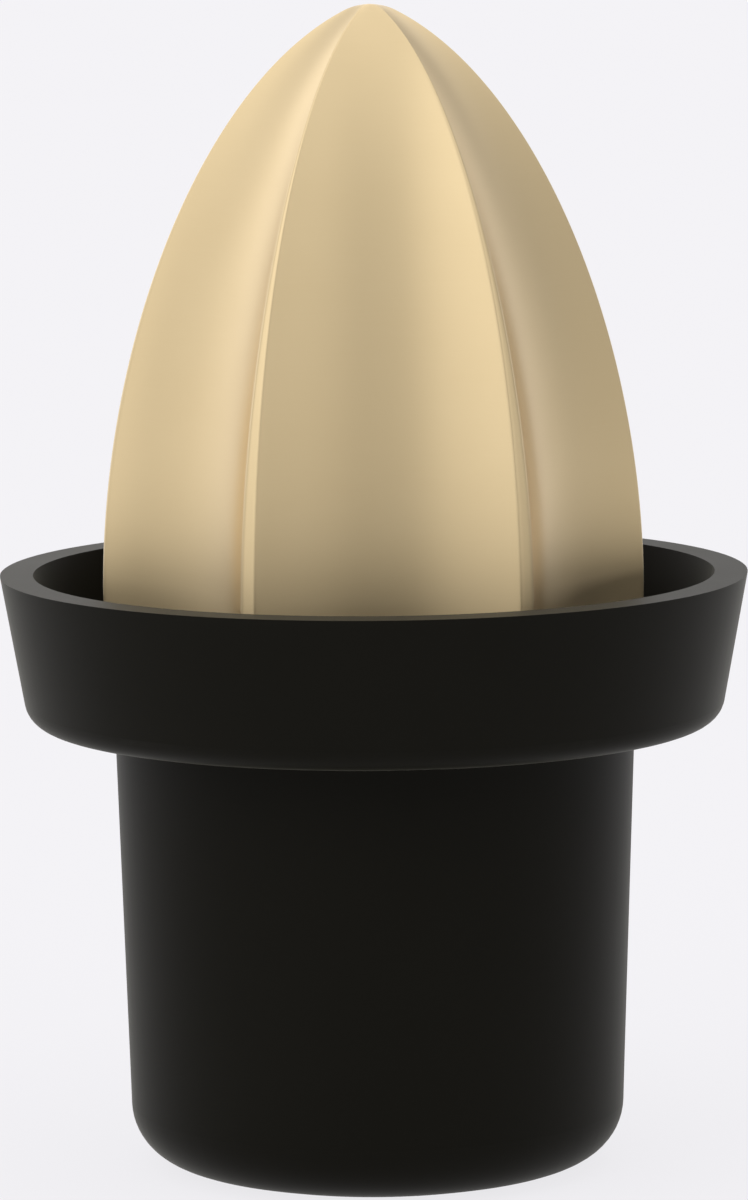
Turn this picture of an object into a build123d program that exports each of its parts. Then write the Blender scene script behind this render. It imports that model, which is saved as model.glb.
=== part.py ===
from build123d import *
import math
import os

# Citrus press: a fluted brass cone on a slotted plate, in a flared tray that sits on a tapered cup.
# Millimetres, +Z up, origin on the axis at the level that the press stands on.

# Cup
cup_height = 59.5
cup_mouth_radius = 34.9
cup_foot_radius = 33.0
cup_wall = 3.0
cup_floor = 4.5
cup_base_round = 7.9
cup_mouth_round = 0.4

# Foot ring, let into the base of the cup
foot_edge_inset = 0.1
foot_width = 4.0
foot_thickness = 1.8
foot_standout = 0.4
foot_edge_round = 0.3
foot_side_gap = 0.05

# Collector tray
tray_height = 20.15
tray_flare = 3.6
tray_wall = 4.4
tray_floor = 3.5
tray_base_round = 3.5
rim_outer_round = 0.8
rim_inner_round = 0.5
floor_fall = 0.5
gutter_depth = 5.0
gutter_round = 1.5
ledge_width = 2.8
trough_width = 9.35

# Spigot under the tray, and its seal
spigot_depth = 8.0
spigot_wall = 2.2
spigot_gap = 0.3
groove_height = 3.2
groove_depth = 1.1
groove_drop = 2.6
seal_height = 3.0
seal_gap = 0.1
seal_seat_gap = 0.05
seal_crown = 0.35

# Strainer plate
plate_thickness = 2.5
plate_gap = 0.3
plate_edge_round = 0.6
slot_width = 1.8
slot_outer_inset = 3.0
slot_cone_gap = 2.0
slot_step_angle = 8.0
slots_each_side = 3
key_count = 3
key_width = 7.0
key_drop = 1.8
key_gap = 0.2
boss_radius = 21.0
boss_drop = 2.4
boss_taper_angle = 8.0

# Fluted cone
cone_radius = 36.25
cone_skirt = 6.5
cone_height = 84.8
cone_side_handle = 33.0
cone_nose_radius = 3.5
cone_nose_angle = 27.3
cone_nose_handle = 21.7
cone_wall = 1.8
flute_count = 6
flute_first_angle = 30.0
flute_depth = 7.45
land_foot_width = 1.9
land_tip_width = 0.15
land_taper_power = 4.4
cone_section_count = 9
cone_hollow_share = 0.75
cone_nose_shares = (0.45, 0.8)

# Core inside the cone
core_gap = 0.1
core_wall = 2.4
core_floor = 3.0
core_rib = 1.6
core_boss_radius = 4.0
core_boss_height = 13.0

# Screws that hold the plate to the core
screw_count = 3
screw_circle_radius = 13.5
screw_radius = 1.5
screw_length = 10.0
screw_head_radius = 2.8
screw_head_height = 1.7
screw_head_round = 0.5
screw_drive_width = 2.0
screw_drive_sides = 6
screw_drive_depth = 1.0
screw_gap = 0.05
screw_hole_gap = 0.2
screw_tip_gap = 1.0
counterbore_depth = 2.0

# One overrun serves every cut that has to pass right through
overrun = 1.0


# Radii that one piece takes from another: the tray leaves a trough all round the cone
tray_bore_at_rim = cone_radius + trough_width
tray_rim_radius = tray_bore_at_rim + tray_wall
tray_foot_radius = tray_rim_radius - tray_flare
foot_outer_radius = cup_foot_radius - cup_base_round - foot_edge_inset
foot_inner_radius = foot_outer_radius - foot_width


def cup_outer_radius(height):
    """Outer radius of the cup at a height above its base."""
    return cup_foot_radius + (cup_mouth_radius - cup_foot_radius) * height / cup_height


def tray_outer_radius(height):
    """Outer radius of the tray's flare at a height above its underside."""
    return tray_foot_radius + tray_flare * height / tray_height


def nearest_corner(corners, radius, level):
    """The corner of a turned profile that lies nearest to a radius and a level."""
    return corners.sort_by_distance((radius, level))[0]


# Levels, from the ground up
cup_base_level = foot_standout
cup_mouth_level = cup_base_level + cup_height
floor_level = cup_mouth_level + tray_floor
ledge_level = floor_level + gutter_depth
plate_top_level = ledge_level + plate_thickness
rim_level = cup_mouth_level + tray_height
skirt_level = plate_top_level + cone_skirt
tip_level = plate_top_level + cone_height

# Radii at those levels
spigot_radius = cup_outer_radius(cup_height - spigot_depth) - cup_wall - spigot_gap
drain_radius = spigot_radius - spigot_wall
tray_bore_at_ledge = tray_outer_radius(ledge_level - cup_mouth_level) - tray_wall
gutter_radius = tray_bore_at_ledge - ledge_width
plate_radius = tray_bore_at_ledge - plate_gap
slot_outer_radius = plate_radius - slot_outer_inset


# Cup: one turned profile, opened from the top, with a groove in its base for the foot ring
with BuildPart() as cup:
    with BuildSketch(Plane.XZ) as cup_profile:
        with BuildLine():
            Polyline(
                (0, cup_base_level),
                (cup_foot_radius, cup_base_level),
                (cup_mouth_radius, cup_mouth_level),
                (cup_mouth_radius - cup_wall, cup_mouth_level),
                (cup_foot_radius - cup_wall, cup_base_level + cup_floor),
                (0, cup_base_level + cup_floor),
                close=True,
            )
        make_face()
        corners = cup_profile.vertices()
        fillet(nearest_corner(corners, cup_foot_radius, cup_base_level), cup_base_round)
        inner_foot_level = cup_base_level + cup_floor
        fillet(nearest_corner(corners, cup_foot_radius - cup_wall, inner_foot_level), cup_base_round - cup_wall)
        fillet(nearest_corner(corners, cup_mouth_radius - cup_wall, cup_mouth_level), cup_mouth_round)
    revolve(axis=Axis.Z)
    with BuildSketch(Plane.XY.offset(cup_base_level)):
        Circle(foot_outer_radius)
        Circle(foot_inner_radius, mode=Mode.SUBTRACT)
    extrude(amount=foot_thickness - foot_standout, mode=Mode.SUBTRACT)
cup.part.label = "cup"

# Foot ring: a soft flat ring that stands a little below the cup's base
with BuildPart() as foot_ring:
    with BuildSketch():
        Circle(foot_outer_radius - foot_side_gap)
        Circle(foot_inner_radius + foot_side_gap, mode=Mode.SUBTRACT)
    extrude(amount=foot_thickness)
    fillet(foot_ring.faces().sort_by(Axis.Z)[0].edges(), foot_edge_round)
foot_ring.part.label = "foot_ring"

# Collector tray: flared wall, ledge for the plate, gutter that falls to the drain, spigot below
groove_top_level = cup_mouth_level - groove_drop
groove_bottom_level = groove_top_level - groove_height
with BuildPart() as collector_tray:
    with BuildSketch(Plane.XZ) as tray_profile:
        with BuildLine():
            Polyline(
                (drain_radius, cup_mouth_level - spigot_depth),
                (spigot_radius, cup_mouth_level - spigot_depth),
                (spigot_radius, cup_mouth_level),
                (tray_foot_radius, cup_mouth_level),
                (tray_rim_radius, rim_level),
                (tray_bore_at_rim, rim_level),
                (tray_bore_at_ledge, ledge_level),
                (gutter_radius, ledge_level),
                (gutter_radius, floor_level + floor_fall),
                (drain_radius, floor_level),
                close=True,
            )
        make_face()
        corners = tray_profile.vertices()
        fillet(nearest_corner(corners, tray_foot_radius, cup_mouth_level), tray_base_round)
        fillet(nearest_corner(corners, tray_rim_radius, rim_level), rim_outer_round)
        fillet(nearest_corner(corners, tray_bore_at_rim, rim_level), rim_inner_round)
        fillet(nearest_corner(corners, gutter_radius, floor_level + floor_fall), gutter_round)
    revolve(axis=Axis.Z)
    with BuildSketch(Plane.XY.offset(groove_bottom_level)):
        Circle(spigot_radius + overrun)
        Circle(spigot_radius - groove_depth, mode=Mode.SUBTRACT)
    extrude(amount=groove_height, mode=Mode.SUBTRACT)
    with BuildSketch(Plane.XY.offset(ledge_level)):
        with PolarLocations(gutter_radius + ledge_width / 2, key_count):
            Rectangle(ledge_width + 2 * plate_gap, key_width + 2 * key_gap)
    extrude(amount=-(key_drop + key_gap), mode=Mode.SUBTRACT)
collector_tray.part.label = "collector_tray"

# Tray seal: a crowned soft ring in the spigot's groove, just clear of the cup's wall
seal_level = groove_bottom_level + (groove_height - seal_height) / 2
seal_inner_radius = spigot_radius - groove_depth + seal_seat_gap
seal_outer_radius = cup_outer_radius(seal_level - cup_base_level) - cup_wall - seal_gap
with BuildPart() as tray_seal:
    with BuildSketch(Plane.XZ):
        with BuildLine():
            Polyline(
                (seal_outer_radius - seal_crown, seal_level),
                (seal_inner_radius, seal_level),
                (seal_inner_radius, seal_level + seal_height),
                (seal_outer_radius - seal_crown, seal_level + seal_height),
            )
            ThreePointArc(
                (seal_outer_radius - seal_crown, seal_level + seal_height),
                (seal_outer_radius, seal_level + seal_height / 2),
                (seal_outer_radius - seal_crown, seal_level),
            )
        make_face()
    revolve(axis=Axis.Z)
tray_seal.part.label = "tray_seal"


# Fluted cone. Its side is a straight skirt, one curve up to the nose, and a round nose.
# Each flute is hollowed by a circle that shrinks with the cone. The lands between them are sharp
# at the nose and widen towards the foot.
nose_angle = math.radians(cone_nose_angle)
nose_level = tip_level - cone_nose_radius * math.tan(nose_angle / 2)
nose_sphere_radius = cone_nose_radius / math.sin(nose_angle)
flute_step = 2 * math.pi / flute_count
valley_share = 1 - flute_depth / cone_radius


def side_point(share):
    """Radius, level and slope of the cone's side, at a share of the way from the skirt to the nose."""
    handle_radius = cone_nose_radius + cone_nose_handle * math.cos(nose_angle)
    handle_level = nose_level - cone_nose_handle * math.sin(nose_angle)
    radii = (cone_radius, cone_radius, handle_radius, cone_nose_radius)
    levels = (skirt_level, skirt_level + cone_side_handle, handle_level, nose_level)
    rest = 1 - share
    weights = (rest**3, 3 * rest**2 * share, 3 * rest * share**2, share**3)
    pulls = (-3 * rest**2, 3 * rest * (rest - 2 * share), 3 * share * (2 * rest - share), 3 * share**2)
    radius = sum(weight * value for weight, value in zip(weights, radii))
    level = sum(weight * value for weight, value in zip(weights, levels))
    radius_rate = sum(pull * value for pull, value in zip(pulls, radii))
    level_rate = sum(pull * value for pull, value in zip(pulls, levels))
    return radius, level, radius_rate / level_rate


def nose_point(share):
    """Radius and level on the round nose, at a share of the way from its edge to the tip."""
    angle = nose_angle * (1 - share)
    radius = nose_sphere_radius * math.sin(angle)
    return radius, tip_level - nose_sphere_radius * (1 - math.cos(angle))


def flute_circle(radius):
    """Distance from the axis, and radius, of the circle that hollows a flute where the cone has this radius."""
    land = land_tip_width + (land_foot_width - land_tip_width) * (radius / cone_radius) ** land_taper_power
    edge_angle = flute_step / 2 - math.asin(land / 2 / radius)
    rise = radius * (math.cos(edge_angle) - valley_share)
    half_chord = radius * math.sin(edge_angle)
    circle_radius = (rise**2 + half_chord**2) / (2 * rise)
    return radius * valley_share + circle_radius, circle_radius


def flute_wall_radius(distance, circle_radius, angle):
    """Distance from the axis to a flute's wall, at an angle off the flute's middle."""
    return distance * math.cos(angle) - math.sqrt(circle_radius**2 - (distance * math.sin(angle)) ** 2)


def polar_point(radius, angle):
    """A point in the plane, from its distance and angle."""
    return (radius * math.cos(angle), radius * math.sin(angle))


def draw_fluted_outline(radius):
    """The cone's outside at one level: a land and a hollow flute, six times over."""
    distance, circle_radius = flute_circle(radius)
    edge = math.acos((radius**2 + distance**2 - circle_radius**2) / (2 * radius * distance))
    for index in range(flute_count):
        middle = math.radians(flute_first_angle) + index * flute_step
        flute_start = polar_point(radius, middle - edge)
        flute_end = polar_point(radius, middle + edge)
        land_end = polar_point(radius, middle + flute_step - edge)
        ThreePointArc(flute_start, polar_point(distance - circle_radius, middle), flute_end)
        ThreePointArc(flute_end, polar_point(radius, middle + flute_step / 2), land_end)


def draw_hollow_outline(radius, wall):
    """The outline inside the cone's wall at one level: the flutes alone, meeting in sharp corners."""
    distance, circle_radius = flute_circle(radius)
    corner_radius = flute_wall_radius(distance, circle_radius + wall, flute_step / 2)
    for index in range(flute_count):
        middle = math.radians(flute_first_angle) + index * flute_step
        ThreePointArc(
            polar_point(corner_radius, middle - flute_step / 2),
            polar_point(distance - circle_radius - wall, middle),
            polar_point(corner_radius, middle + flute_step / 2),
        )


def shares_up_to(last, count):
    """Even shares from zero to the last."""
    return [last * index / (count - 1) for index in range(count)]


# The inside of the cone: open at the foot, level at the top, with the nose left solid
with BuildPart() as cone_hollow:
    with BuildSketch(Plane.XY.offset(plate_top_level - overrun)):
        with BuildLine():
            draw_hollow_outline(cone_radius, cone_wall)
        make_face()
    extrude(amount=cone_skirt + overrun)
    for share in shares_up_to(cone_hollow_share, cone_section_count):
        side_radius, side_level, slope = side_point(share)
        with BuildSketch(Plane.XY.offset(side_level)):
            with BuildLine():
                draw_hollow_outline(side_radius, cone_wall * math.hypot(1, slope))
            make_face()
    loft()

with BuildPart() as reamer_cone:
    with BuildSketch(Plane.XY.offset(plate_top_level)):
        with BuildLine():
            draw_fluted_outline(cone_radius)
        make_face()
    extrude(amount=cone_skirt)
    side_places = [side_point(share)[:2] for share in shares_up_to(1, cone_section_count)]
    nose_places = [nose_point(share) for share in cone_nose_shares]
    for place_radius, place_level in side_places + nose_places:
        with BuildSketch(Plane.XY.offset(place_level)):
            with BuildLine():
                draw_fluted_outline(place_radius)
            make_face()
    loft()
    add(cone_hollow.part, mode=Mode.SUBTRACT)
reamer_cone.part.label = "reamer_cone"

# Core: a shallow fluted plug inside the cone's skirt, with ribs and three tall screw bosses
with BuildPart() as reamer_core:
    with BuildSketch(Plane.XY.offset(plate_top_level)):
        with BuildLine():
            draw_hollow_outline(cone_radius, cone_wall + core_gap)
        make_face()
    extrude(amount=cone_skirt)
    with BuildSketch(Plane.XY.offset(plate_top_level + core_floor)):
        with BuildLine():
            draw_hollow_outline(cone_radius, cone_wall + core_gap + core_wall)
        make_face()
    extrude(amount=cone_skirt, mode=Mode.SUBTRACT)
    with BuildSketch(Plane.XY.offset(plate_top_level + core_floor)) as rib_sketch:
        with PolarLocations(screw_circle_radius / 2, screw_count):
            Rectangle(screw_circle_radius, core_rib)
        rib_outer_radius = flute_wall_radius(*flute_circle(cone_radius), 0) - cone_wall - core_wall
        with PolarLocations((screw_circle_radius + rib_outer_radius) / 2, screw_count):
            Rectangle(rib_outer_radius - screw_circle_radius + core_wall, core_rib)
    extrude(amount=cone_skirt - core_floor)
    with BuildSketch(Plane.XY.offset(plate_top_level)):
        with PolarLocations(screw_circle_radius, screw_count):
            Circle(core_boss_radius)
    extrude(amount=core_boss_height)
    with BuildSketch(Plane.XY.offset(plate_top_level)):
        with PolarLocations(screw_circle_radius, screw_count):
            Circle(screw_radius + screw_gap)
    extrude(amount=screw_length + screw_tip_gap, mode=Mode.SUBTRACT)
reamer_core.part.label = "reamer_core"

# Strainer plate: slotted between the cone's foot and the ledge, bossed for the screws, keyed to the tray
boss_level = ledge_level - boss_drop
screw_seat_level = boss_level + counterbore_depth
key_length = plate_radius - gutter_radius - 2 * key_gap
key_circle_radius = gutter_radius + key_gap + key_length / 2
with BuildPart() as strainer_plate:
    with BuildSketch(Plane.XY.offset(ledge_level)):
        Circle(plate_radius)
    extrude(amount=plate_thickness)
    fillet(strainer_plate.edges().group_by(Axis.Z)[-1], plate_edge_round)
    with BuildSketch(Plane.XY.offset(ledge_level)):
        Circle(boss_radius)
    extrude(amount=-boss_drop, taper=boss_taper_angle)
    with BuildSketch(Plane.XY.offset(ledge_level)):
        with PolarLocations(key_circle_radius, key_count):
            Rectangle(key_length, key_width)
    extrude(amount=-key_drop)
    with BuildSketch(Plane.XY.offset(ledge_level)):
        for step in range(-slots_each_side, slots_each_side + 1):
            slot_angle = step * slot_step_angle
            flute_wall = flute_wall_radius(*flute_circle(cone_radius), math.radians(slot_angle))
            slot_start = flute_wall + slot_cone_gap
            slot_length = slot_outer_radius - slot_start
            slot_middle = slot_start + slot_length / 2
            with PolarLocations(slot_middle, flute_count, start_angle=flute_first_angle + slot_angle):
                SlotOverall(slot_length, slot_width)
    extrude(amount=plate_thickness, mode=Mode.SUBTRACT)
    with BuildSketch(Plane.XY.offset(boss_level)):
        with PolarLocations(screw_circle_radius, screw_count):
            Circle(screw_head_radius + screw_hole_gap)
    extrude(amount=counterbore_depth, mode=Mode.SUBTRACT)
    with BuildSketch(Plane.XY.offset(screw_seat_level)):
        with PolarLocations(screw_circle_radius, screw_count):
            Circle(screw_radius + screw_hole_gap)
    extrude(amount=plate_top_level - screw_seat_level, mode=Mode.SUBTRACT)
strainer_plate.part.label = "strainer_plate"

# Screws: round heads with a six-sided drive, up through the plate and into the core's bosses
with BuildPart() as core_screws:
    with BuildSketch(Plane.XY.offset(screw_seat_level)):
        with PolarLocations(screw_circle_radius, screw_count):
            Circle(screw_head_radius)
    extrude(amount=-screw_head_height)
    fillet(core_screws.edges().group_by(Axis.Z)[0], screw_head_round)
    with BuildSketch(Plane.XY.offset(screw_seat_level)):
        with PolarLocations(screw_circle_radius, screw_count):
            Circle(screw_radius)
    extrude(amount=screw_length)
    with BuildSketch(Plane.XY.offset(screw_seat_level - screw_head_height)):
        with PolarLocations(screw_circle_radius, screw_count):
            RegularPolygon(screw_drive_width / 2, side_count=screw_drive_sides)
    extrude(amount=screw_drive_depth, mode=Mode.SUBTRACT)
core_screws.part.label = "core_screws"

os.makedirs("parts", exist_ok=True)
export_step(cup.part, "parts/cup.step")
export_step(foot_ring.part, "parts/foot_ring.step")
export_step(collector_tray.part, "parts/collector_tray.step")
export_step(tray_seal.part, "parts/tray_seal.step")
export_step(strainer_plate.part, "parts/strainer_plate.step")
export_step(reamer_core.part, "parts/reamer_core.step")
export_step(reamer_cone.part, "parts/reamer_cone.step")
export_step(core_screws.part, "parts/core_screws.step")
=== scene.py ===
import math

import bpy
from mathutils import Matrix, Vector


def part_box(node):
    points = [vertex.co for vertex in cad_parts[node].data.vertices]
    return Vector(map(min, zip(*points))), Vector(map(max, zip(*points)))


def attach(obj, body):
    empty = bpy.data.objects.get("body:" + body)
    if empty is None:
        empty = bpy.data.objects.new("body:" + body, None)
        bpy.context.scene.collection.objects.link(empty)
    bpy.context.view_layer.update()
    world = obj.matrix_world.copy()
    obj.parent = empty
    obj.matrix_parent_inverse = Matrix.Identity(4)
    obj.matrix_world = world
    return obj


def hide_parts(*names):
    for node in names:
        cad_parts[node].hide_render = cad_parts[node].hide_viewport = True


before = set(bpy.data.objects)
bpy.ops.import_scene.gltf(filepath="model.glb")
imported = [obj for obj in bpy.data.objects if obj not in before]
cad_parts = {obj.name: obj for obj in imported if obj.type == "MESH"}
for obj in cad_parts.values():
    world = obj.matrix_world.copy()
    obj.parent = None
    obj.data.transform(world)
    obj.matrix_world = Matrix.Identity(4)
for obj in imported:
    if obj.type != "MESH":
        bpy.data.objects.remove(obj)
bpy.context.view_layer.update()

scene = bpy.context.scene
scene.view_settings.view_transform = "Standard"
coneLow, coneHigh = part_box("reamer_cone")
print("frame loaded:", len(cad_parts), "nodes")


# Small helpers for node trees, shared by the cone and the finishes

def addNode(tree, kind, **settings):
    node = tree.nodes.new(kind)
    for name, value in settings.items():
        setattr(node, name, value)
    return node


def feed(tree, socket, value):
    if isinstance(value, bpy.types.NodeSocket):
        tree.links.new(value, socket)
    else:
        socket.default_value = value


def addMath(tree, operation, *values, clamp=False):
    node = addNode(tree, "ShaderNodeMath", operation=operation, use_clamp=clamp)
    for socket, value in zip(node.inputs, values):
        feed(tree, socket, value)
    return node.outputs[0]


def addPoint(tree, x, y, z):
    node = addNode(tree, "ShaderNodeCombineXYZ")
    for socket, value in zip(node.inputs, (x, y, z)):
        feed(tree, socket, value)
    return node.outputs[0]


# Camera: fitted to the outlines of the photograph, which is 748 by 1200 pixels

cameraSetup = {
    "distance": 0.8482,      # from the press's axis
    "height": 0.1885,        # above the surface that it stands on
    "azimuth": -3.3,         # degrees, so that the front flute faces a little to the right
    "tilt": 7.55,            # degrees down
    "roll": -0.43,           # degrees
    "focalPixels": 6386.0,
    "photoHeight": 1200.0,
    "nearest": 0.05,         # where the view starts and ends
    "furthest": 60.0,
}


def makeCamera():
    data = bpy.data.cameras.new("productCamera")
    data.sensor_fit = "VERTICAL"
    data.sensor_height = data.sensor_width
    data.lens = data.sensor_height * cameraSetup["focalPixels"] / cameraSetup["photoHeight"]
    data.clip_start = cameraSetup["nearest"]
    data.clip_end = cameraSetup["furthest"]
    camera = bpy.data.objects.new("productCamera", data)
    azimuth = math.radians(cameraSetup["azimuth"])
    reach = cameraSetup["distance"]
    place = Vector((math.sin(azimuth) * reach, -math.cos(azimuth) * reach, cameraSetup["height"]))
    turn = Matrix.Rotation(azimuth, 4, "Z")
    turn = turn @ Matrix.Rotation(math.radians(90 - cameraSetup["tilt"]), 4, "X")
    turn = turn @ Matrix.Rotation(math.radians(cameraSetup["roll"]), 4, "Z")
    camera.matrix_world = Matrix.Translation(place) @ turn
    scene.collection.objects.link(camera)
    scene.camera = camera


makeCamera()
print("camera placed")


# Finishes. Every pattern reads Object coordinates, so it stays with its piece.

def startMaterial(name):
    material = bpy.data.materials.new(name)
    material.use_nodes = True
    tree = material.node_tree
    tree.nodes.clear()
    output = addNode(tree, "ShaderNodeOutputMaterial")
    shader = addNode(tree, "ShaderNodeBsdfPrincipled")
    tree.links.new(shader.outputs["BSDF"], output.inputs["Surface"])
    place = addNode(tree, "ShaderNodeTexCoord").outputs["Object"]
    return material, tree, shader, place


def addNoise(tree, place, scale, detail=2.0, roughness=0.5, stretch=(1.0, 1.0, 1.0)):
    mapping = addNode(tree, "ShaderNodeMapping")
    mapping.inputs["Scale"].default_value = stretch
    tree.links.new(place, mapping.inputs["Vector"])
    noise = addNode(tree, "ShaderNodeTexNoise")
    tree.links.new(mapping.outputs["Vector"], noise.inputs["Vector"])
    noise.inputs["Scale"].default_value = scale
    noise.inputs["Detail"].default_value = detail
    noise.inputs["Roughness"].default_value = roughness
    return noise.outputs["Fac"]


def addRange(tree, value, low, high):
    node = addNode(tree, "ShaderNodeMapRange")
    tree.links.new(value, node.inputs["Value"])
    node.inputs["To Min"].default_value = low
    node.inputs["To Max"].default_value = high
    return node.outputs["Result"]


def addBlend(tree, share, first, second):
    node = addNode(tree, "ShaderNodeMix", data_type="RGBA")
    tree.links.new(share, node.inputs["Factor"])
    node.inputs["A"].default_value = (*first, 1.0)
    node.inputs["B"].default_value = (*second, 1.0)
    return node.outputs["Result"]


def addBump(tree, shader, height, strength, depth):
    bump = addNode(tree, "ShaderNodeBump")
    bump.inputs["Strength"].default_value = strength
    bump.inputs["Distance"].default_value = depth
    tree.links.new(height, bump.inputs["Height"])
    tree.links.new(bump.outputs["Normal"], shader.inputs["Normal"])


brassFinish = {
    "colour": (0.787, 0.630, 0.368),
    "colourDeep": (0.757, 0.597, 0.336),
    "roughness": (0.34, 0.37),
    "brushed": 1.0,          # how much the brushing draws highlights out
    "brushTurn": 0.25,       # of a full turn, so that they are drawn out up and down
    "brushShare": 0.35,      # of the change in colour, and the clouds have the rest
    "brushScale": 5200.0,
    "brushStretch": (0.02, 0.02, 1.0),   # fine lines that run round the axis
    "brushStrength": 0.16,
    "brushDepth": 0.00002,
    "cloudScale": 60.0,
}


def makeSatinBrass():
    material, tree, shader, place = startMaterial("satinBrass")
    clouds = addNoise(tree, place, brassFinish["cloudScale"], detail=3.0)
    brushing = addNoise(tree, place, brassFinish["brushScale"], stretch=brassFinish["brushStretch"])
    brushShare = brassFinish["brushShare"]
    cloudy = addMath(tree, "MULTIPLY", clouds, 1.0 - brushShare)
    worn = addMath(tree, "MULTIPLY_ADD", brushing, brushShare, cloudy)
    colour = addBlend(tree, worn, brassFinish["colour"], brassFinish["colourDeep"])
    tree.links.new(colour, shader.inputs["Base Color"])
    tree.links.new(addRange(tree, clouds, *brassFinish["roughness"]), shader.inputs["Roughness"])
    shader.inputs["Metallic"].default_value = 1.0
    shader.inputs["Anisotropic"].default_value = brassFinish["brushed"]
    shader.inputs["Anisotropic Rotation"].default_value = brassFinish["brushTurn"]
    addBump(tree, shader, brushing, brassFinish["brushStrength"], brassFinish["brushDepth"])
    return material


blackFinish = {
    "colour": (0.0037, 0.0033, 0.0015),
    "colourWorn": (0.0055, 0.0050, 0.0028),
    "roughness": (0.46, 0.54),
    "specular": 0.07,
    "bloom": 0.12,           # pale bloom of fine moulded plastic, seen along its edges
    "bloomRoughness": 0.30,
    "bloomTint": (1.0, 0.98, 0.78, 1.0),
    "grainScale": 3800.0,
    "grainStrength": 0.12,
    "grainDepth": 0.00002,
    "cloudScale": 45.0,
}


def makeMattBlack():
    material, tree, shader, place = startMaterial("mattBlack")
    clouds = addNoise(tree, place, blackFinish["cloudScale"], detail=3.0)
    grain = addNoise(tree, place, blackFinish["grainScale"], detail=1.0)
    colour = addBlend(tree, clouds, blackFinish["colour"], blackFinish["colourWorn"])
    tree.links.new(colour, shader.inputs["Base Color"])
    tree.links.new(addRange(tree, clouds, *blackFinish["roughness"]), shader.inputs["Roughness"])
    shader.inputs["Specular IOR Level"].default_value = blackFinish["specular"]
    shader.inputs["Sheen Weight"].default_value = blackFinish["bloom"]
    shader.inputs["Sheen Roughness"].default_value = blackFinish["bloomRoughness"]
    shader.inputs["Sheen Tint"].default_value = blackFinish["bloomTint"]
    addBump(tree, shader, grain, blackFinish["grainStrength"], blackFinish["grainDepth"])
    return material


rubberFinish = {
    "colour": (0.020, 0.020, 0.021),
    "colourDusty": (0.032, 0.032, 0.033),
    "roughness": (0.62, 0.75),
    "specular": 0.3,
    "grainScale": 2600.0,
    "grainStrength": 0.2,
    "grainDepth": 0.00003,
    "cloudScale": 120.0,
}


def makeSoftRubber():
    material, tree, shader, place = startMaterial("softRubber")
    clouds = addNoise(tree, place, rubberFinish["cloudScale"], detail=4.0)
    grain = addNoise(tree, place, rubberFinish["grainScale"], detail=2.0)
    colour = addBlend(tree, clouds, rubberFinish["colour"], rubberFinish["colourDusty"])
    tree.links.new(colour, shader.inputs["Base Color"])
    tree.links.new(addRange(tree, clouds, *rubberFinish["roughness"]), shader.inputs["Roughness"])
    shader.inputs["Specular IOR Level"].default_value = rubberFinish["specular"]
    addBump(tree, shader, grain, rubberFinish["grainStrength"], rubberFinish["grainDepth"])
    return material


steelFinish = {
    "colour": (0.60, 0.60, 0.61),
    "colourDull": (0.50, 0.50, 0.51),
    "roughness": (0.22, 0.34),
    "turnedScale": 900.0,
    "turnedStretch": (1.0, 1.0, 6.0),
    "grainStrength": 0.1,
    "grainDepth": 0.00001,
}


def makeScrewSteel():
    material, tree, shader, place = startMaterial("screwSteel")
    turned = addNoise(tree, place, steelFinish["turnedScale"], stretch=steelFinish["turnedStretch"])
    colour = addBlend(tree, turned, steelFinish["colour"], steelFinish["colourDull"])
    tree.links.new(colour, shader.inputs["Base Color"])
    tree.links.new(addRange(tree, turned, *steelFinish["roughness"]), shader.inputs["Roughness"])
    shader.inputs["Metallic"].default_value = 1.0
    addBump(tree, shader, turned, steelFinish["grainStrength"], steelFinish["grainDepth"])
    return material


satinBrass = makeSatinBrass()
mattBlack = makeMattBlack()
softRubber = makeSoftRubber()
screwSteel = makeScrewSteel()
print("finishes made")


def finishNode(name, material):
    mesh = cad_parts[name].data
    mesh.materials.clear()
    mesh.materials.append(material)


for nodeName in ("cup", "collector_tray", "strainer_plate", "reamer_core"):
    finishNode(nodeName, mattBlack)
for nodeName in ("foot_ring", "tray_seal"):
    finishNode(nodeName, softRubber)
finishNode("core_screws", screwSteel)
print("frame pieces finished")


# The fluted cone. Rows run from the tip down the outside, under the foot and up the inside.
# Columns follow the lands, and a soft minimum rounds each land's two edges.

coneShape = {
    "Foot Radius": coneHigh[0],
    "Foot Level": coneLow[2],
    "Height": coneHigh[2] - coneLow[2],
    "Skirt Height": 0.0065,
    "Side Handle": 0.033,    # how far the side keeps its direction, up from the skirt
    "Nose Radius": 0.0035,
    "Nose Angle": math.radians(27.3),
    "Nose Handle": 0.0217,   # and down from the nose
    "Flutes": 6,
    "First Angle": math.radians(30.0),
    "Flute Depth": 0.00745,
    "Foot Land": 0.0019,
    "Tip Land": 0.00015,
    "Land Taper": 4.4,       # power by which a land widens towards the foot
    "Edge Softness": 0.016,  # share of the radius
    "Wall": 0.0018,
    "Hollow Share": 0.72,    # how far up the side the hollow goes
    "Nose Rows": 10,
    "Side Rows": 112,
    "Skirt Rows": 6,
    "Inner Rows": 20,
    "Flute Columns": 26,
    "Land Columns": 6,
    "Column Crowding": 1.8,  # power that crowds a flute's columns towards the lands
    "Curve Steps": 240,
    "Merge Distance": 1e-6,
    "Sharp Corner": math.radians(50.0),
}


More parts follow.
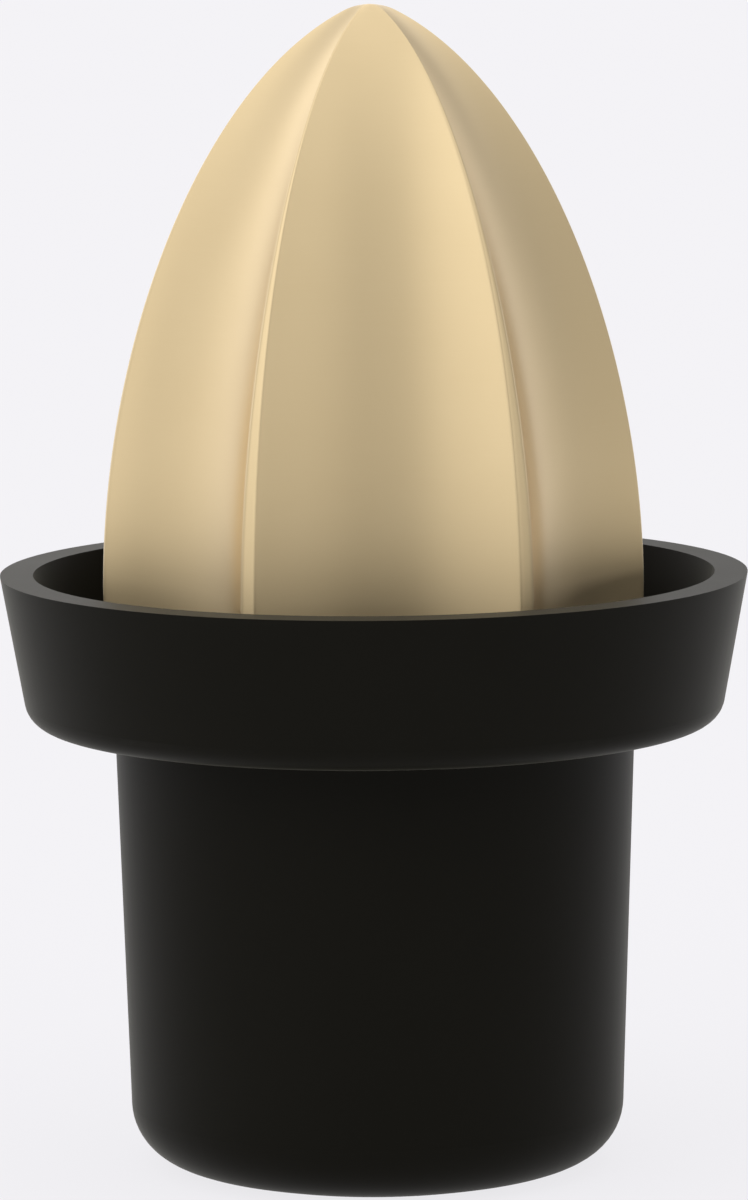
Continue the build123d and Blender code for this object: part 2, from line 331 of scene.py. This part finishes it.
def makeConeTree():
    tree = bpy.data.node_groups.new("flutedCone", "GeometryNodeTree")
    tree.interface.new_socket(name="Geometry", in_out="OUTPUT", socket_type="NodeSocketGeometry")
    for name, value in coneShape.items():
        kind = "NodeSocketInt" if isinstance(value, int) else "NodeSocketFloat"
        tree.interface.new_socket(name=name, in_out="INPUT", socket_type=kind)
    tree.interface.new_socket(name="Finish", in_out="INPUT", socket_type="NodeSocketMaterial")
    given = addNode(tree, "NodeGroupInput").outputs

    def math2(operation, *values, clamp=False):
        return addMath(tree, operation, *values, clamp=clamp)

    def choose(test, ifFalse, ifTrue):
        node = addNode(tree, "GeometryNodeSwitch", input_type="FLOAT")
        feed(tree, node.inputs["Switch"], test)
        feed(tree, node.inputs["False"], ifFalse)
        feed(tree, node.inputs["True"], ifTrue)
        return node.outputs[0]

    # A flat grid of rows and columns, which the steps below wrap round the axis
    outerRows = math2("ADD", given["Nose Rows"], given["Side Rows"])
    outerRows = math2("ADD", outerRows, given["Skirt Rows"])
    rowSteps = math2("ADD", outerRows, given["Inner Rows"])
    halfColumns = math2("ADD", given["Flute Columns"], given["Land Columns"])
    columnSteps = math2("MULTIPLY", math2("MULTIPLY", halfColumns, 2.0), given["Flutes"])
    grid = addNode(tree, "GeometryNodeMeshGrid")
    feed(tree, grid.inputs["Size X"], 1.0)
    feed(tree, grid.inputs["Size Y"], 1.0)
    feed(tree, grid.inputs["Vertices X"], math2("ADD", columnSteps, 1.0))
    feed(tree, grid.inputs["Vertices Y"], math2("ADD", rowSteps, 1.0))
    flat = addNode(tree, "ShaderNodeSeparateXYZ")
    tree.links.new(addNode(tree, "GeometryNodeInputPosition").outputs[0], flat.inputs[0])
    across = math2("ADD", flat.outputs["X"], 0.5)
    row = math2("ROUND", math2("MULTIPLY", math2("ADD", flat.outputs["Y"], 0.5), rowSteps))

    # The side is one Bezier segment from the skirt to the edge of the round nose
    tipLevel = math2("ADD", given["Foot Level"], given["Height"])
    skirtLevel = math2("ADD", given["Foot Level"], given["Skirt Height"])
    halfNose = math2("DIVIDE", given["Nose Angle"], 2.0)
    noseDrop = math2("MULTIPLY", given["Nose Radius"], math2("TANGENT", halfNose))
    noseLevel = math2("SUBTRACT", tipLevel, noseDrop)
    handleOut = math2("MULTIPLY", given["Nose Handle"], math2("COSINE", given["Nose Angle"]))
    handleDown = math2("MULTIPLY", given["Nose Handle"], math2("SINE", given["Nose Angle"]))
    startLevel = math2("ADD", skirtLevel, given["Side Handle"])
    endOut = math2("ADD", given["Nose Radius"], handleOut)
    endLevel = math2("SUBTRACT", noseLevel, handleDown)
    side = addNode(tree, "GeometryNodeCurvePrimitiveBezierSegment", mode="POSITION")
    feed(tree, side.inputs["Resolution"], given["Curve Steps"])
    feed(tree, side.inputs["Start"], addPoint(tree, given["Foot Radius"], 0.0, skirtLevel))
    feed(tree, side.inputs["Start Handle"], addPoint(tree, given["Foot Radius"], 0.0, startLevel))
    feed(tree, side.inputs["End Handle"], addPoint(tree, endOut, 0.0, endLevel))
    feed(tree, side.inputs["End"], addPoint(tree, given["Nose Radius"], 0.0, noseLevel))

    # Where each row lies along the nose, the side, the skirt and the hollow
    isInner = math2("GREATER_THAN", row, math2("ADD", outerRows, 0.5))
    isNose = math2("LESS_THAN", row, math2("SUBTRACT", given["Nose Rows"], 0.5))
    isLast = math2("GREATER_THAN", row, math2("SUBTRACT", rowSteps, 0.5))
    pastNose = math2("SUBTRACT", row, given["Nose Rows"])
    sideShare = math2("DIVIDE", pastNose, given["Side Rows"], clamp=True)
    pastSide = math2("SUBTRACT", pastNose, given["Side Rows"])
    skirtShare = math2("DIVIDE", pastSide, given["Skirt Rows"], clamp=True)

    # The hollow's first two rows are its foot and the top of its skirt. Its last closes on the axis.
    pastFoot = math2("SUBTRACT", row, math2("ADD", outerRows, 2.0))
    innerSteps = math2("SUBTRACT", given["Inner Rows"], 3.0)
    innerShare = math2("DIVIDE", pastFoot, innerSteps, clamp=True)
    innerShare = math2("MULTIPLY", innerShare, given["Hollow Share"])
    innerFoot = math2("SUBTRACT", 0.0, pastFoot, clamp=True)
    sample = addNode(tree, "GeometryNodeSampleCurve", mode="FACTOR")
    feed(tree, sample.inputs["Curves"], side.outputs[0])
    feed(tree, sample.inputs["Factor"], choose(isInner, math2("SUBTRACT", 1.0, sideShare), innerShare))
    sidePlace = addNode(tree, "ShaderNodeSeparateXYZ")
    tree.links.new(sample.outputs["Position"], sidePlace.inputs[0])
    sideSlope = addNode(tree, "ShaderNodeSeparateXYZ")
    tree.links.new(sample.outputs["Tangent"], sideSlope.inputs[0])
    below = math2("MULTIPLY", choose(isInner, skirtShare, innerFoot), given["Skirt Height"])
    noseShare = math2("DIVIDE", row, given["Nose Rows"], clamp=True)
    noseTurn = math2("MULTIPLY", noseShare, given["Nose Angle"])
    noseSphere = math2("DIVIDE", given["Nose Radius"], math2("SINE", given["Nose Angle"]))
    noseOut = math2("MULTIPLY", noseSphere, math2("SINE", noseTurn))
    noseFall = math2("MULTIPLY", noseSphere, math2("SUBTRACT", 1.0, math2("COSINE", noseTurn)))
    radius = choose(isNose, sidePlace.outputs["X"], noseOut)
    sideLevel = math2("SUBTRACT", sidePlace.outputs["Z"], below)
    level = choose(isNose, sideLevel, math2("SUBTRACT", tipLevel, noseFall))

    # The circle that hollows a flute at this radius. It keeps its shape on the nose.
    fluteRadius = math2("MAXIMUM", radius, given["Nose Radius"])
    radiusShare = math2("DIVIDE", fluteRadius, given["Foot Radius"])
    landGrowth = math2("SUBTRACT", given["Foot Land"], given["Tip Land"])
    landShare = math2("POWER", radiusShare, given["Land Taper"])
    land = math2("MULTIPLY_ADD", landGrowth, landShare, given["Tip Land"])
    halfStep = math2("DIVIDE", math.pi, given["Flutes"])
    landAngle = math2("ARCSINE", math2("DIVIDE", math2("DIVIDE", land, 2.0), fluteRadius))
    edgeAngle = math2("SUBTRACT", halfStep, landAngle)
    valleyShare = math2("SUBTRACT", 1.0, math2("DIVIDE", given["Flute Depth"], given["Foot Radius"]))
    rise = math2("MULTIPLY", fluteRadius, math2("SUBTRACT", math2("COSINE", edgeAngle), valleyShare))
    halfChord = math2("MULTIPLY", fluteRadius, math2("SINE", edgeAngle))
    chordSquares = math2("ADD", math2("POWER", rise, 2.0), math2("POWER", halfChord, 2.0))
    circle = math2("DIVIDE", chordSquares, math2("MULTIPLY", rise, 2.0))
    circleOut = math2("MULTIPLY_ADD", fluteRadius, valleyShare, circle)

    # Where each column lies: crowded towards a land's edge, then even across the land
    turns = math2("MULTIPLY", across, given["Flutes"])
    fluteIndex = math2("FLOOR", turns)
    offMiddle = math2("SUBTRACT", math2("MULTIPLY", math2("FRACT", turns), 2.0), 1.0)
    awayShare = math2("ABSOLUTE", offMiddle)
    edgeShare = math2("DIVIDE", given["Flute Columns"], halfColumns)
    inFlute = math2("SUBTRACT", 1.0, math2("DIVIDE", awayShare, edgeShare, clamp=True))
    fluteSwing = math2("SUBTRACT", 1.0, math2("POWER", inFlute, given["Column Crowding"]))
    pastEdge = math2("SUBTRACT", awayShare, edgeShare)
    onLand = math2("DIVIDE", pastEdge, math2("SUBTRACT", 1.0, edgeShare), clamp=True)
    swing = math2("MULTIPLY_ADD", fluteSwing, edgeAngle, math2("MULTIPLY", onLand, landAngle))
    swing = math2("MULTIPLY", swing, math2("SIGN", offMiddle))
    fluteStep = math2("MULTIPLY", halfStep, 2.0)
    middle = math2("MULTIPLY_ADD", fluteIndex, fluteStep, given["First Angle"])
    angle = math2("ADD", middle, swing)

    # Distance from the axis to the flute's wall, outside and inside
    acrossCircle = math2("POWER", math2("MULTIPLY", circleOut, math2("SINE", swing)), 2.0)
    alongAxis = math2("MULTIPLY", circleOut, math2("COSINE", swing))

    def wallDistance(wallCircle):
        rest = math2("MAXIMUM", math2("SUBTRACT", math2("POWER", wallCircle, 2.0), acrossCircle), 0.0)
        return math2("SUBTRACT", alongAxis, math2("SQRT", rest))

    outerRatio = math2("DIVIDE", wallDistance(circle), fluteRadius)
    softRatio = math2("SMOOTH_MIN", outerRatio, 1.0, given["Edge Softness"])
    outerDistance = math2("MULTIPLY", softRatio, radius)
    levelWall = math2("DIVIDE", given["Wall"], math2("ABSOLUTE", sideSlope.outputs["Z"]))
    innerDistance = wallDistance(math2("ADD", circle, levelWall))
    distance = choose(isInner, outerDistance, innerDistance)
    distance = math2("MULTIPLY", distance, math2("SUBTRACT", 1.0, isLast))
    place = addPoint(tree, math2("MULTIPLY", distance, math2("COSINE", angle)),
                     math2("MULTIPLY", distance, math2("SINE", angle)), level)

    moved = addNode(tree, "GeometryNodeSetPosition")
    feed(tree, moved.inputs["Geometry"], grid.outputs["Mesh"])
    feed(tree, moved.inputs["Position"], place)
    merged = addNode(tree, "GeometryNodeMergeByDistance")
    feed(tree, merged.inputs["Geometry"], moved.outputs[0])
    feed(tree, merged.inputs["Distance"], given["Merge Distance"])
    flipped = addNode(tree, "GeometryNodeFlipFaces")
    feed(tree, flipped.inputs[0], merged.outputs[0])
    smooth = addNode(tree, "GeometryNodeSetShadeSmooth")
    feed(tree, smooth.inputs["Geometry"], flipped.outputs[0])
    sharp = addNode(tree, "GeometryNodeSetShadeSmooth", domain="EDGE")
    corner = addNode(tree, "GeometryNodeInputMeshEdgeAngle").outputs["Unsigned Angle"]
    feed(tree, sharp.inputs["Geometry"], smooth.outputs[0])
    feed(tree, sharp.inputs["Selection"], math2("GREATER_THAN", corner, given["Sharp Corner"]))
    feed(tree, sharp.inputs["Shade Smooth"], False)
    realised = addNode(tree, "GeometryNodeRealizeInstances")
    feed(tree, realised.inputs[0], sharp.outputs[0])
    painted = addNode(tree, "GeometryNodeSetMaterial")
    feed(tree, painted.inputs["Geometry"], realised.outputs[0])
    feed(tree, painted.inputs["Material"], given["Finish"])
    feed(tree, addNode(tree, "NodeGroupOutput").inputs["Geometry"], painted.outputs[0])
    return tree


def makeCone():
    tree = makeConeTree()
    grower = bpy.data.objects.new("coneGrower", bpy.data.meshes.new("coneGrower"))
    scene.collection.objects.link(grower)
    modifier = grower.modifiers.new("flutedCone", "NODES")
    modifier.node_group = tree
    values = dict(coneShape, Finish=satinBrass)
    for item in tree.interface.items_tree:
        if item.in_out == "INPUT":
            modifier[item.identifier] = values[item.name]
    bpy.context.view_layer.update()
    grown = grower.evaluated_get(bpy.context.evaluated_depsgraph_get())
    mesh = bpy.data.meshes.new_from_object(grown)
    grower.modifiers.remove(modifier)
    bpy.data.objects.remove(grower)
    mesh.name = "brassCone"
    cone = bpy.data.objects.new("brassCone", mesh)
    scene.collection.objects.link(cone)
    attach(cone, "reamer")
    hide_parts("reamer_cone")
    return cone


brassCone = makeCone()
print("cone made:", len(brassCone.data.polygons), "faces")


# Studio: a wide pale floor and a pale room with soft light walls all round

studio = {
    "floorRadius": 14.0,
    "floorRings": 5,
    "floorSpokes": 64,
    "floorColour": (0.884, 0.875, 0.90),
    "floorCloudLift": 0.004, # how much lighter the clouds in it are
    "floorCloudScale": 3.0,
    "floorRoughness": 0.9,
    "floorGlow": 0.90,       # share of the floor's brightness that no shadow reaches
    "roomColour": (1.0, 0.99, 1.02),
    "horizon": 0.91,         # brightness of the band just above the floor's far edge
    "overhead": 1.35,
    "horizonEnd": (0.075, 0.13),   # heights, as sines, where a band gives way to the next
    "lowEnd": (0.25, 0.50),
    "highEnd": (0.60, 0.85),
}

# Brightness of the walls by azimuth, in degrees from the camera's side, positive to its right
softWalls = {
    "low": {
        -180: 1.40, -150: 1.90, -120: 1.45, -90: 0.65, -60: 1.05, -45: 1.00, -30: 0.90, -15: 0.50,
        0: 0.00, 15: 0.00, 30: 0.15, 45: 0.20, 60: 0.40, 90: 0.00, 120: 0.00, 150: 0.75,
    },
    "high": {
        -180: 0.95, -150: 0.95, -120: 1.10, -90: 1.40, -60: 1.90, -45: 2.00, -30: 2.05, -15: 1.80,
        0: 0.85, 15: 0.65, 30: 1.10, 45: 1.20, 60: 1.15, 90: 0.70, 120: 0.95, 150: 1.30,
    },
}


def makeFloor():
    material, tree, shader, place = startMaterial("paleFloor")
    clouds = addNoise(tree, place, studio["floorCloudScale"])
    lighter = tuple(value + studio["floorCloudLift"] for value in studio["floorColour"])
    colour = addBlend(tree, clouds, studio["floorColour"], lighter)
    tree.links.new(colour, shader.inputs["Base Color"])
    shader.inputs["Roughness"].default_value = studio["floorRoughness"]
    shader.inputs["Specular IOR Level"].default_value = 0.0
    glow = addNode(tree, "ShaderNodeEmission")
    tree.links.new(colour, glow.inputs["Color"])
    path = addNode(tree, "ShaderNodeLightPath").outputs
    seen = addMath(tree, "MAXIMUM", path["Is Camera Ray"], path["Is Glossy Ray"])
    seen = addMath(tree, "MAXIMUM", seen, path["Is Transmission Ray"])
    both = addNode(tree, "ShaderNodeMixShader")
    tree.links.new(addMath(tree, "MULTIPLY", seen, studio["floorGlow"]), both.inputs["Fac"])
    tree.links.new(shader.outputs["BSDF"], both.inputs[1])
    tree.links.new(glow.outputs["Emission"], both.inputs[2])
    output = next(node for node in tree.nodes if node.bl_idname == "ShaderNodeOutputMaterial")
    tree.links.new(both.outputs["Shader"], output.inputs["Surface"])
    vertices = [(0.0, 0.0, 0.0)]
    faces = []
    rings = studio["floorRings"]
    spokes = studio["floorSpokes"]
    for ring in range(rings):
        reach = studio["floorRadius"] * ((ring + 1) / rings) ** 2
        for spoke in range(spokes):
            angle = 2 * math.pi * spoke / spokes
            vertices.append((reach * math.cos(angle), reach * math.sin(angle), 0.0))
    for spoke in range(spokes):
        after = (spoke + 1) % spokes
        faces.append((0, 1 + spoke, 1 + after))
        for ring in range(1, rings):
            inner = 1 + (ring - 1) * spokes
            outer = 1 + ring * spokes
            faces.append((inner + spoke, outer + spoke, outer + after, inner + after))
    mesh = bpy.data.meshes.new("paleFloor")
    mesh.from_pydata(vertices, [], faces)
    mesh.materials.append(material)
    floor = bpy.data.objects.new("paleFloor", mesh)
    scene.collection.objects.link(floor)


def addStep(tree, value, ends):
    node = addNode(tree, "ShaderNodeMapRange", interpolation_type="SMOOTHSTEP")
    tree.links.new(value, node.inputs["Value"])
    node.inputs["From Min"].default_value = ends[0]
    node.inputs["From Max"].default_value = ends[1]
    return node.outputs["Result"]


def addCrossfade(tree, share, first, second):
    node = addNode(tree, "ShaderNodeMix", data_type="FLOAT")
    for socket, value in zip(("Factor", "A", "B"), (share, first, second)):
        feed(tree, node.inputs[socket], value)
    return node.outputs["Result"]


def addWall(tree, around, brightness):
    ramp = addNode(tree, "ShaderNodeValToRGB")
    tree.links.new(around, ramp.inputs["Fac"])
    stops = ramp.color_ramp.elements
    for azimuth, value in brightness.items():
        stop = stops[0] if azimuth == -180 else stops.new(azimuth / 360 + 0.5)
        stop.color = (value, value, value, 1.0)
    stops[-1].color = stops[0].color   # the ring closes behind the object
    return ramp.outputs["Color"]


def makeRoom():
    room = bpy.data.worlds.new("paleRoom")
    room.use_nodes = True
    tree = room.node_tree
    background = tree.nodes["Background"]
    background.inputs["Color"].default_value = (*studio["roomColour"], 1.0)
    direction = addNode(tree, "ShaderNodeSeparateXYZ")
    tree.links.new(addNode(tree, "ShaderNodeTexCoord").outputs["Generated"], direction.inputs[0])
    height = direction.outputs["Z"]

    # Azimuth from the camera's side, as a share of a full turn
    towardsFront = addMath(tree, "MULTIPLY", direction.outputs["Y"], -1.0)
    turn = addMath(tree, "ARCTAN2", direction.outputs["X"], towardsFront)
    turn = addMath(tree, "SUBTRACT", turn, math.radians(cameraSetup["azimuth"]))
    around = addMath(tree, "FRACT", addMath(tree, "MULTIPLY_ADD", turn, 0.5 / math.pi, 0.5))
    lowWalls = addWall(tree, around, softWalls["low"])
    highWalls = addWall(tree, around, softWalls["high"])
    walls = addCrossfade(tree, addStep(tree, height, studio["lowEnd"]), lowWalls, highWalls)
    walls = addCrossfade(tree, addStep(tree, height, studio["highEnd"]), walls, studio["overhead"])
    walls = addCrossfade(tree, addStep(tree, height, studio["horizonEnd"]), studio["horizon"], walls)
    tree.links.new(walls, background.inputs["Strength"])
    scene.world = room


makeFloor()
makeRoom()
print("studio made")
